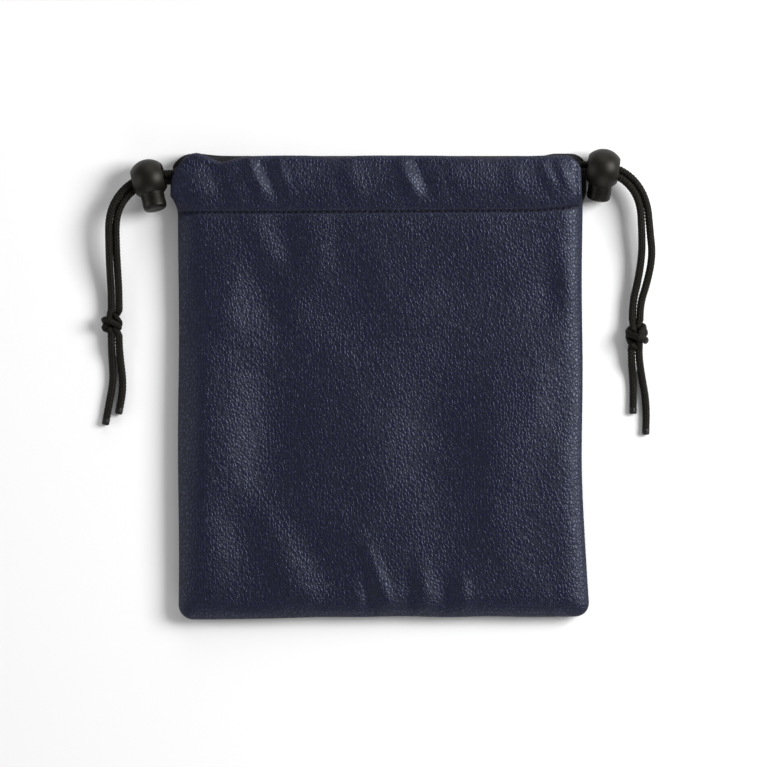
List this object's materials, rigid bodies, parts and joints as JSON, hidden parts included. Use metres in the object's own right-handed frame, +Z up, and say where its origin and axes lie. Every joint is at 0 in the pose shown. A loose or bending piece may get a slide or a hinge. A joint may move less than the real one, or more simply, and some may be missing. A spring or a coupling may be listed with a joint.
{
  "type": "drawstring pouch",
  "caption": "Flat drawstring pouch in pebbled leather with a stitched hem channel, side-exit drawcords tied in overhand knots, and a push-button ball lock on each cord pair.",
  "frame": {"origin": "middle of the pouch's box, without its free cords and locks, on the surface that it lies on", "axes": "+X across the pouch to the right seen from the front panel, +Y towards the mouth, +Z up out of the front panel"},
  "size_m": [0.2567, 0.218, 0.0188],
  "materials": {
    "leather": "navy pebbled leather-look sheet, satin",
    "lining": "black woven lining, matte",
    "thread": "near-black bonded sewing thread",
    "cord": "black braided round cord, slight sheen",
    "cord_tip": "heat-sealed cord end",
    "lock_plastic": "black moulded plastic, fine satin texture",
    "button_plastic": "black moulded plastic, satin",
    "spring_steel": "bright spring wire"
  },
  "bodies": {
    "bag": {"front_panel": "leather", "back_panel": "leather", "front_lining": "lining", "back_lining": "lining", "front_channel_facing": "lining", "back_channel_facing": "lining", "front_hem_thread": "thread", "back_hem_thread": "thread", "seam_thread": "thread", "front_channel_cord": "cord", "back_channel_cord": "cord", "left_front_cord": "cord", "left_back_cord": "cord", "right_front_cord": "cord", "right_back_cord": "cord", "left_knot": "cord", "right_knot": "cord", "left_outer_tail": "cord", "left_inner_tail": "cord", "right_inner_tail": "cord", "right_outer_tail": "cord", "left_outer_tail_tip": "cord_tip", "left_inner_tail_tip": "cord_tip", "right_inner_tail_tip": "cord_tip", "right_outer_tail_tip": "cord_tip"},
    "left_lock": {"left_lock_housing": "lock_plastic", "left_lock_spring": "spring_steel"},
    "left_button": {"left_lock_plunger": "button_plastic"},
    "right_lock": {"right_lock_housing": "lock_plastic", "right_lock_spring": "spring_steel"},
    "right_button": {"right_lock_plunger": "button_plastic"}
  },
  "joints": [
    {"name": "left_lock_along_cords", "type": "hinge", "parent": "bag", "child": "left_lock", "pos_m": [-0.1012, 0.0736, 0.0093], "axis": [0, 0, 1], "range_deg": [0, 56.5]},
    {"name": "left_button_press", "type": "slide", "parent": "left_lock", "child": "left_button", "axis": [-0.2283, 0.9511, -0.2079], "range_m": [0, 0.002], "stiffness_N_per_m": 1000, "springref_m": -0.002, "deforming": ["left_lock_spring"]},
    {"name": "right_lock_along_cords", "type": "hinge", "parent": "bag", "child": "right_lock", "pos_m": [0.10024, 0.07964, 0.0096], "axis": [0, 0, -1], "range_deg": [0, 63.5]},
    {"name": "right_button_press", "type": "slide", "parent": "right_lock", "child": "right_button", "axis": [0.1406, 0.9406, 0.309], "range_m": [0, 0.002], "stiffness_N_per_m": 1000, "springref_m": -0.002, "deforming": ["right_lock_spring"]}
  ]
}
